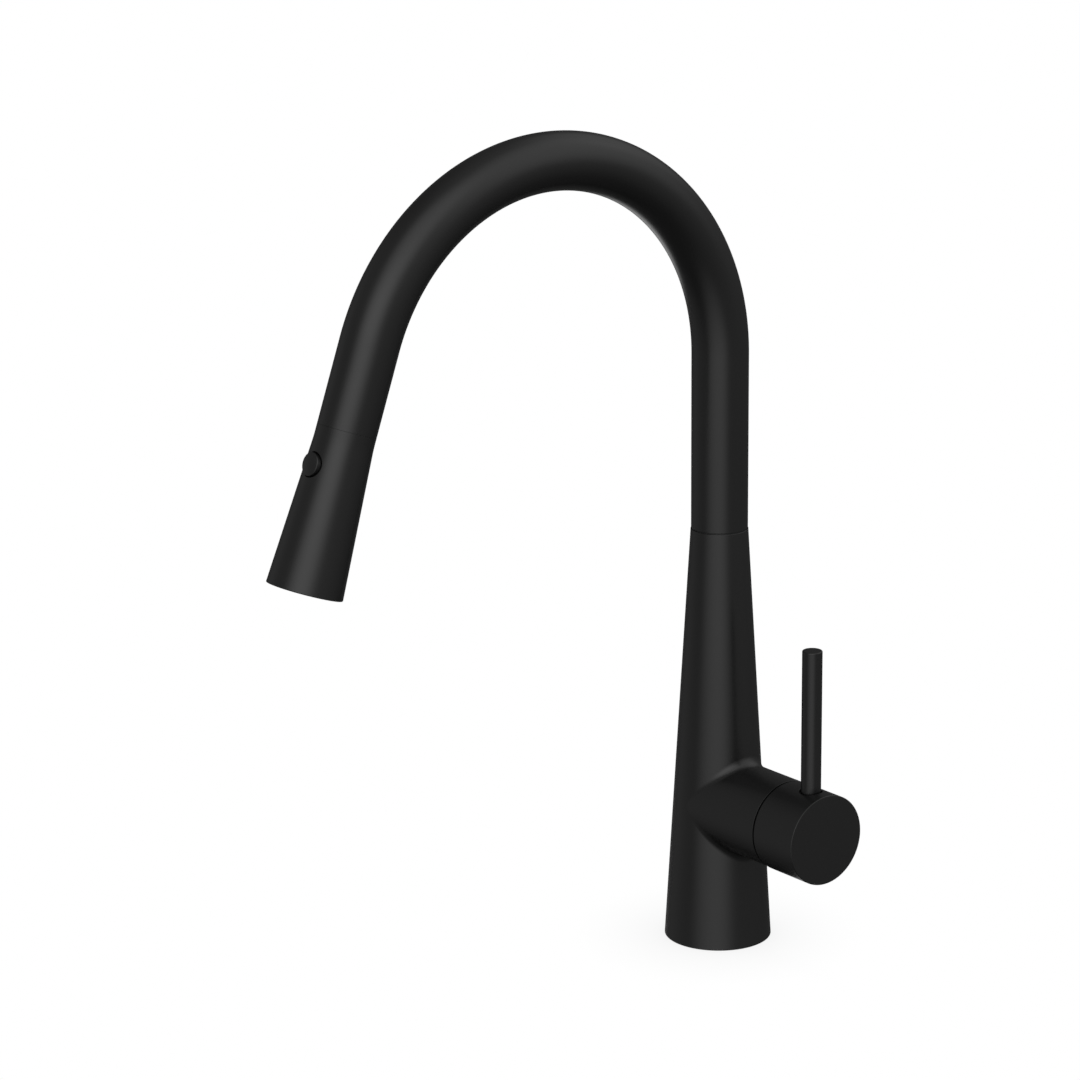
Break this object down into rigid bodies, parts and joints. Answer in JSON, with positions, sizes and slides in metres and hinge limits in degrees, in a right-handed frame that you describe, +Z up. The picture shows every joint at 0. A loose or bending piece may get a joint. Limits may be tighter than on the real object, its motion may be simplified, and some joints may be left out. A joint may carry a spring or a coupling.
{
  "type": "pull down kitchen faucet",
  "caption": "Single-lever kitchen faucet with a swivelling gooseneck spout and a magnetically docked pull-down spray head.",
  "frame": {"origin": "centre of the foot on the deck, midway between the two stud holes", "axes": "+Z up along the body, -Y the way the spout points at rest (towards the user), +X along the lever's turning axis"},
  "size_m": [0.1076, 0.2915, 0.4215],
  "materials": {
    "black_finish": "satin black coating on brass and zinc",
    "rubber": "matt moulded rubber",
    "nozzle_rubber": "soft silicone, matt",
    "dark_plastic": "fine moulded grain",
    "light_plastic": "unpainted moulding",
    "ceramic": "lapped alumina",
    "brass": "turned, unpolished",
    "steel": "turned stainless",
    "magnet": "nickel plated",
    "hose_braid": "woven nylon braid"
  },
  "bodies": {
    "base": {"body": "black_finish", "deck_seal": "rubber", "swivel_washer": "dark_plastic", "swivel_lock_screw": "steel", "cartridge_base": "light_plastic", "port_seals": "rubber", "fixed_disc": "ceramic", "cartridge_shell": "light_plastic", "cartridge_nut": "brass", "glide_ring": "dark_plastic", "stop_ring": "dark_plastic"},
    "lever": {"handle_cap": "black_finish", "lever_pin": "black_finish", "set_screw": "steel", "set_screw_plug": "rubber", "spindle": "brass", "spindle_seal": "rubber", "disc_carrier": "dark_plastic", "moving_disc": "ceramic"},
    "spout": {"spout_tube": "black_finish", "swivel_sleeve": "brass", "swivel_seals": "rubber", "slide_rings": "light_plastic", "docking_collar": "dark_plastic", "dock_magnet": "magnet", "spray_hose": "hose_braid", "hose_connector": "brass"},
    "hose_end": {"hose_ferrule": "steel", "hose_fitting": "brass"},
    "head": {"fitting_clip": "steel", "inlet_washer": "rubber", "head_shell": "black_finish", "waterway": "dark_plastic", "head_magnet": "magnet", "check_valve": "light_plastic", "aerator_cup": "dark_plastic", "aerator_screen": "steel", "spray_plate": "dark_plastic", "nozzle_pad": "nozzle_rubber", "face_seal": "rubber", "plate_screws": "steel", "button_spring": "steel"},
    "button": {"spray_button": "dark_plastic", "diverter_spool": "light_plastic", "diverter_seals": "rubber"}
  },
  "joints": [
    {"name": "spout_swivel", "type": "hinge", "parent": "base", "child": "spout", "pos_m": [0, 0, 0.2125], "axis": [0, 0, 1], "continuous": true},
    {"name": "lever_turn", "type": "hinge", "parent": "base", "child": "lever", "pos_m": [0.0667, 0, 0.07175], "axis": [1, 0, 0], "range_deg": [0, 100]},
    {"name": "head_pull", "type": "slide", "parent": "spout", "child": "hose_end", "axis": [0, -0.3355, -0.9421], "range_m": [0, 0.2], "deforming": ["spray_hose"]},
    {"name": "head_turn", "type": "hinge", "parent": "hose_end", "child": "head", "pos_m": [0, -0.21941, 0.3059], "axis": [0, -0.3355, -0.9421], "continuous": true},
    {"name": "button_press", "type": "slide", "parent": "head", "child": "button", "axis": [0, 0.9421, -0.3355], "range_m": [0, 0.0018], "stiffness_N_per_m": 1200, "springref_m": -0.001, "deforming": ["button_spring"]}
  ]
}
